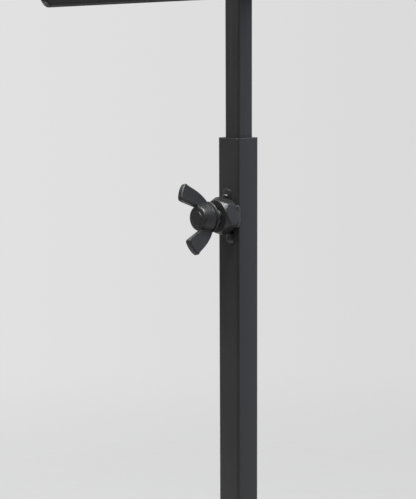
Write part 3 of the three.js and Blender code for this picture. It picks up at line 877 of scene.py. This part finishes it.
def desk_panel():
    """A pressed tray: flat sheet, a small bend all round, and a hemmed rim towards the back."""
    bend = 1.35
    inner = bend - DESK_THICKNESS
    lip = 0.35
    back = DESK_THICKNESS + DESK_RIM
    arc = quarter_arc(6)
    # The section's points are (inset from the outer outline, distance behind the front face).
    section = [(bend - bend * s, bend - bend * c) for s, c in arc]
    section += [(lip - lip * c, back - lip + lip * s) for s, c in arc]
    section += [(DESK_THICKNESS - lip + lip * s, back - lip + lip * c) for s, c in arc]
    section += [(DESK_THICKNESS + inner - inner * c, bend - inner * s) for s, c in arc]
    loops = []
    for inset, depth in section:
        outline = rounded_rectangle(
            panel.size.x - 2 * inset, DESK_HEIGHT - 2 * inset, DESK_CORNER - inset, steps=12)
        loops.append([(x, z, -depth) for x, z in outline])
    place = DESK @ at(0, DESK_FRONT, desk_bottom + DESK_HEIGHT / 2) @ UPRIGHT
    piece("desk_panel_pressed", skin(bmesh.new(), loops), COAT, "desk", ["desk_panel"], place=place)


def desk_shelf():
    """A folded ledge: a flange on the desk's front, a shelf, and a lip turned up at its edge."""
    depth = 50.0
    lip = 12.0
    flange_height = 22.0
    back = DESK_FRONT - GAP
    front = back - depth
    outer = softened([
        (back, desk_bottom + flange_height), (back, desk_bottom), (front, desk_bottom),
        (front, desk_bottom + lip),
    ], 2.4, steps=8)
    top = desk_bottom + SHELF_THICKNESS
    inner = softened([
        (front + SHELF_THICKNESS, desk_bottom + lip), (front + SHELF_THICKNESS, top),
        (back - SHELF_THICKNESS, top), (back - SHELF_THICKNESS, desk_bottom + flange_height),
    ], 0.9, steps=8)
    width = shelf.size.x
    piece(
        "desk_shelf_folded", extruded(outer + inner, width, bevel=0.3, sharp_angle=40), COAT, "desk",
        ["desk_shelf"], place=DESK @ at(-width / 2, 0, 0) @ SIDE_VIEW)


def in_desk_frame(node):
    """The middle of a CAD node in the desk's own frame."""
    low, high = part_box(node)
    return DESK.inverted() @ ((low + high) / 2 / MM)


def rivet(node, head_at, tail_at):
    """A domed head towards the reader at y = head_at, and a clinched tail behind y = tail_at."""
    middle = in_desk_frame(node)
    profile = softened([
        (0, head_at - 1.25), (2.1, head_at - 1.05), (3.5, head_at - 0.3), (3.6, head_at), (1.9, head_at),
        (1.9, tail_at), (2.85, tail_at), (2.6, tail_at + 0.9), (1.2, tail_at + 1.15), (0.8, tail_at + 0.7),
        (0, tail_at + 0.7),
    ], 0.45, steps=3)
    piece(f"{node}_set", turned(profile, 40), ZINC, "desk", [node], place=DESK @ at(middle.x, 0, middle.z))


desk_panel()
desk_shelf()
for number in range(1, 6):
    rivet(f"shelf_rivet_{number}", DESK_FRONT - SHELF_THICKNESS - GAP, DESK_BACK)
for corner in ("lower_left", "lower_right", "upper_left", "upper_right"):
    rivet(f"bracket_rivet_{corner}", DESK_FRONT, DESK_BACK + WEB_THICKNESS + GAP)

bracket = Box("tilt_bracket")
bolt = Box("tilt_bolt")
washer = Box("tilt_washer")
knob = Box("tilt_knob")
block = Box("pivot_block")
spacer = Box("tilt_spacer_right")
BRACKET_HEIGHT = 52.0
EAR_INSIDE = spacer.high.x + GAP
EAR_OUTSIDE = washer.low.x - GAP
EAR_RADIUS = 10.0
EAR_ROOT = BRACKET_HEIGHT / 2 - 4  # half the length of an ear's foot
web_back = DESK_BACK + GAP + WEB_THICKNESS


def ear_outline():
    """One ear in side view: X is Y in the desk's frame, Y its height."""
    steps = 24
    sweep = math.pi / 2.4
    arc = [sweep * (2 * k / steps - 1) for k in range(steps + 1)]
    points = [(web_back - 0.5, -EAR_ROOT), (web_back + 3, -EAR_ROOT)]
    points += [(EAR_RADIUS * math.cos(a), EAR_RADIUS * math.sin(a)) for a in arc]
    return points + [(web_back + 3, EAR_ROOT), (web_back - 0.5, EAR_ROOT)]


def tilt_bracket():
    """A plate on the desk's back with two ears welded on."""
    web = rounded_plate(bracket.size.x, BRACKET_HEIGHT, 6, 0, WEB_THICKNESS, edge=0.4)
    web.transform(at(0, web_back, 0) @ UPRIGHT)
    parts = [web]
    thickness = EAR_OUTSIDE - EAR_INSIDE
    for start in (EAR_INSIDE, -EAR_OUTSIDE):
        ear = extruded(ear_outline(), thickness, bevel=0.4)
        ear.transform(at(start, 0, 0) @ SIDE_VIEW)
        parts.append(ear)
    piece("tilt_bracket_welded", joined(*parts), COAT, "desk", ["tilt_bracket"], place=DESK)


def ear_welds():
    """A fillet weld along the outer root of each ear."""
    ripple = 1.3
    steps = 150
    angles = angles_round(12)
    for side, x in (("right", EAR_OUTSIDE), ("left", -EAR_OUTSIDE)):
        loops = []
        for i in range(steps + 1):
            z = -EAR_ROOT + 2 * EAR_ROOT * i / steps
            end = min(1.0, min(i, steps - i) / 5)
            swell = (1.5 + 0.12 * math.sin(z / ripple * math.tau)) * math.sqrt(0.15 + 0.85 * end)
            loops.append([(x + swell * math.cos(a), web_back + swell * math.sin(a), z) for a in angles])
        piece(f"ear_weld_{side}", skin(bmesh.new(), loops), COAT, "desk", place=DESK, smooth_angle=60)


def pivot_block():
    """The upper mast's head: an eye for the tilt bolt, and a spigot in the tube's end."""
    half = upper.size.x / 2
    bottom = upper.high.z - pivot.z
    steps = 32
    arc = [math.pi * k / steps for k in range(steps + 1)]
    side = [(-half, bottom), (half, bottom)] + [(half * math.cos(a), half * math.sin(a)) for a in arc]
    eye = extruded(side, 2 * half, bevel=0.7, sharp_angle=50)
    eye.transform(at(-half, 0, 0) @ SIDE_VIEW)
    width = 2 * half - 2 * (UPPER_WALL + GAP)
    length = upper.high.z - block.low.z
    spigot = rounded_plate(width, width, 1, bottom - length, length - 0.05, edge=0.3)
    piece("pivot_block_cast", joined(eye, spigot), CAST, "upper_mast", ["pivot_block"], place=at(*pivot))


def spacer_ring(node, material, body, bevel):
    """A flat ring on the tilt bolt."""
    box = Box(node)
    bore = 4.3
    outer = box.size.z / 2
    profile = softened([
        (bore, box.low.x), (outer, box.low.x), (outer, box.high.x), (bore, box.high.x),
    ], bevel, steps=3, closed=True)
    piece(
        f"{node}_stamped", turned(profile, 64), material, body, [node],
        place=at(0, pivot.y, pivot.z) @ ALONG_X)


def hexagon_head(across_flats, from_y, to_y):
    """A bolt's head about the Y axis, a corner on Z, its to_y end chamfered by a cone."""
    corner = across_flats / math.sqrt(3)
    cut = corner - across_flats / 2 * 0.95
    slope = math.tan(math.radians(30))
    steps = 7
    angles = angles_round(96)
    loops = [hexagon_ring(across_flats, from_y, corner, angles)]
    for k in range(steps + 1):
        y = to_y - slope * cut * (1 - k / steps)
        loops.append(hexagon_ring(across_flats, y, corner - cut * k / steps, angles))
    return skin(bmesh.new(), loops)


def tilt_bolt():
    """A hexagon head on the reader's left, and a plain shank to the knob."""
    head_face = -EAR_OUTSIDE - GAP
    head = hexagon_head(across_flats=13.0, from_y=-head_face, to_y=-bolt.low.x)
    head.transform(Matrix.Rotation(math.pi / 2, 4, "Z"))
    shank = turned(softened([
        (0, head_face - 0.5), (4.0, head_face - 0.5), (4.0, bolt.high.x - 0.8), (3.2, bolt.high.x),
        (0, bolt.high.x),
    ], 0.2), 48)
    shank.transform(ALONG_X)
    piece("tilt_bolt_forged", joined(head, shank), ZINC, "desk", ["tilt_bolt"], place=DESK, smooth_angle=24)


def tilt_knob():
    """A moulded knob with six soft finger grooves and a recessed cap."""
    length = knob.size.x
    radius = 11.5
    neck_length = 3.9
    grooves = 6
    groove_depth = 2.1
    groove_floor = 7.2  # the radius at which a groove runs out
    angles = angles_round(144)
    profile = softened([
        (7.0, 0), (7.0, 4.0), (radius - 0.6, 4.1), (radius, 5.0), (radius, length - 2.2),
        (radius - 1.3, length - 0.5), (radius - 3.4, length), (6.6, length - 0.1), (6.2, length - 0.6),
        (0.02, length - 0.7),
    ], 0.6, steps=4)
    loops = []
    for r, y in profile:
        share = min(max((r - groove_floor) / (radius - groove_floor), 0), 1) if y > neck_length else 0
        cut = groove_depth * share
        loops.append(ring(y, angles, lambda a: r - cut * max(0.0, math.cos(a * grooves)) ** 3))
    piece(
        "tilt_knob_moulded", skin(bmesh.new(), loops), NYLON, "tilt_knob", ["tilt_knob"],
        place=at(knob.low.x, pivot.y, pivot.z) @ ALONG_X)


tilt_bracket()
ear_welds()
pivot_block()
spacer_ring("tilt_spacer_left", NYLON, "desk", 0.25)
spacer_ring("tilt_spacer_right", NYLON, "desk", 0.25)
spacer_ring("tilt_washer", BRIGHT, "tilt_washer", 0.3)
tilt_bolt()
tilt_knob()

# The pieces inside the mast keep their CAD shape.
for node in ("clamp_pad", "mast_end_plug"):
    frame["nodes"][node].data.materials.clear()
    frame["nodes"][node].data.materials.append(NYLON)

# ---------------------------------------------------------------- camera

CAMERA_DISTANCE = 853.5  # from the mast, level
CAMERA_SIDE = math.radians(46.54)  # from the wing bolt's direction towards the reader's left
CAMERA_ABOVE_TUBE = 55.07
CAMERA_DOWN = math.radians(8.62)
CAMERA_TURN = math.radians(1.352)  # the mast stands this far right of the optical axis
CAMERA_ROLL = math.radians(-0.281)
LENS = 93.8
SENSOR = 36.0


def make_camera():
    """The photo's camera, placed from the mast and the lower tube's top."""
    mast_to_camera = Vector((-math.sin(CAMERA_SIDE), math.cos(CAMERA_SIDE), 0))
    eye = mast_to_camera * CAMERA_DISTANCE + UP * (lower.high.z + CAMERA_ABOVE_TUBE)
    level = Matrix.Rotation(CAMERA_TURN, 3, "Z") @ -mast_to_camera
    forward = level * math.cos(CAMERA_DOWN) - UP * math.sin(CAMERA_DOWN)
    right = forward.cross(UP).normalized()
    above = right.cross(forward)
    turned_right = right * math.cos(CAMERA_ROLL) + above * math.sin(CAMERA_ROLL)
    turned_above = above * math.cos(CAMERA_ROLL) - right * math.sin(CAMERA_ROLL)
    data = bpy.data.cameras.new("camera")
    data.lens = LENS
    data.sensor_width = SENSOR
    data.clip_start = 0.01
    data.clip_end = 100
    camera = bpy.data.objects.new("camera", data)
    bpy.context.scene.collection.objects.link(camera)
    axes = Matrix((turned_right, turned_above, -forward)).transposed()
    camera.matrix_world = at(*(eye * MM)) @ axes.to_4x4()
    bpy.context.scene.camera = camera


make_camera()

# ---------------------------------------------------------------- studio

BRIGHT_SIDE = 250  # azimuths, from +X towards +Y
DIM_SIDE = 130
BEHIND = 316


def make_floor():
    """A pale floor that fades into the backdrop's colour away from the stand."""
    solid_to = 0.7  # metres from the mast
    clear_from = 2.1
    bm = bmesh.new()
    bmesh.ops.create_circle(bm, cap_ends=True, radius=clear_from + 0.2, segments=96)
    mesh = bpy.data.meshes.new("studio_floor")
    bm.to_mesh(mesh)
    bm.free()
    coat = Coat("studio_floor")
    length = coat.add("ShaderNodeVectorMath", operation="LENGTH")
    coat.feed(coat.place, length.inputs[0])
    fade = coat.remap(length.outputs["Value"], solid_to, clear_from, ramp="SMOOTHSTEP")
    faint = coat.noise(30, detail=4.0)
    color = coat.mix(coat.remap(faint, 0.3, 0.7), grey(0.36), grey(0.37))
    roughness = coat.remap(faint, 0.3, 0.7, 0.75, 0.85)
    coat.finish(color, roughness, coat.bump(faint, 0.05), specular=0.2)
    output = coat.find("OUTPUT_MATERIAL")
    clear = coat.add("ShaderNodeBsdfTransparent")
    blend = coat.add("ShaderNodeMixShader")
    coat.feed(fade, blend.inputs[0])
    coat.feed(coat.shader.outputs[0], blend.inputs[1])
    coat.feed(clear.outputs[0], blend.inputs[2])
    coat.feed(blend.outputs[0], output.inputs["Surface"])
    mesh.materials.append(coat.material)
    floor = bpy.data.objects.new("studio_floor", mesh)
    bpy.context.scene.collection.objects.link(floor)


def level_direction(azimuth):
    """A level direction. Azimuth turns from +X towards +Y."""
    a = math.radians(azimuth)
    return (math.cos(a), math.sin(a), 0)


def make_world():
    """The room: pale all round for the camera, with painted shade a little darker towards the camera's right;
    for light, bright on one side and behind, dim in front.
    """
    world = bpy.data.worlds.new("studio")
    bpy.context.scene.world = world
    sky = Nodes(world)
    direction = sky.add("ShaderNodeTexCoord").outputs["Generated"]
    dim_side = sky.remap(sky.dot(direction, level_direction(DIM_SIDE)), 0.25, 0.9, ramp="SMOOTHSTEP")
    bright_side = sky.remap(sky.dot(direction, level_direction(BRIGHT_SIDE)), 0.6, 0.92, ramp="SMOOTHSTEP")
    room = sky.mix(dim_side, grey(0.30), grey(0.10))
    room = sky.mix(bright_side, room, (0.82, 0.86, 1.00, 1))
    behind = sky.remap(sky.dot(direction, level_direction(BEHIND)), 0.5, 0.9, ramp="SMOOTHSTEP")
    room = sky.mix(behind, room, grey(1.1))
    to_the_right = bpy.context.scene.camera.matrix_world.col[0].to_3d()
    # The backdrop the camera sees: painted shade, a little darker towards the camera's right.
    wall = sky.mix(sky.remap(sky.dot(direction, tuple(to_the_right)), -0.14, 0.14), grey(0.752), grey(0.705))
    seen = sky.mix(sky.add("ShaderNodeLightPath").outputs["Is Camera Ray"], room, wall)
    sky.feed(seen, sky.find("BACKGROUND").inputs["Color"])


def soft_box(name, azimuth, elevation, distance, size, power, color=(1.0, 1.0, 1.0)):
    """A square softbox aimed at the mast near the clamp. Angles in degrees, lengths in metres."""
    aim = Vector((0, 0, 0.6))
    across = math.radians(azimuth)
    up = math.radians(elevation)
    direction = Vector((math.cos(across) * math.cos(up), math.sin(across) * math.cos(up), math.sin(up)))
    data = bpy.data.lights.new(name, "AREA")
    data.shape = "SQUARE"
    data.size = size
    data.energy = power
    data.color = color
    light = bpy.data.objects.new(name, data)
    light.location = aim + direction * distance
    light.rotation_mode = "QUATERNION"
    light.rotation_quaternion = direction.to_track_quat("Z", "Y")
    bpy.context.scene.collection.objects.link(light)


make_floor()
make_world()
soft_box("overhead", azimuth=125, elevation=72, distance=3.6, size=1.9, power=220)
soft_box("key", azimuth=108, elevation=52, distance=4.0, size=0.8, power=76)
soft_box("rim", azimuth=248, elevation=43, distance=3.6, size=0.9, power=38, color=(0.97, 0.98, 1.0))
soft_box("fill", azimuth=46, elevation=58, distance=3.6, size=1.2, power=55)
bpy.context.scene.view_settings.view_transform = "Standard"
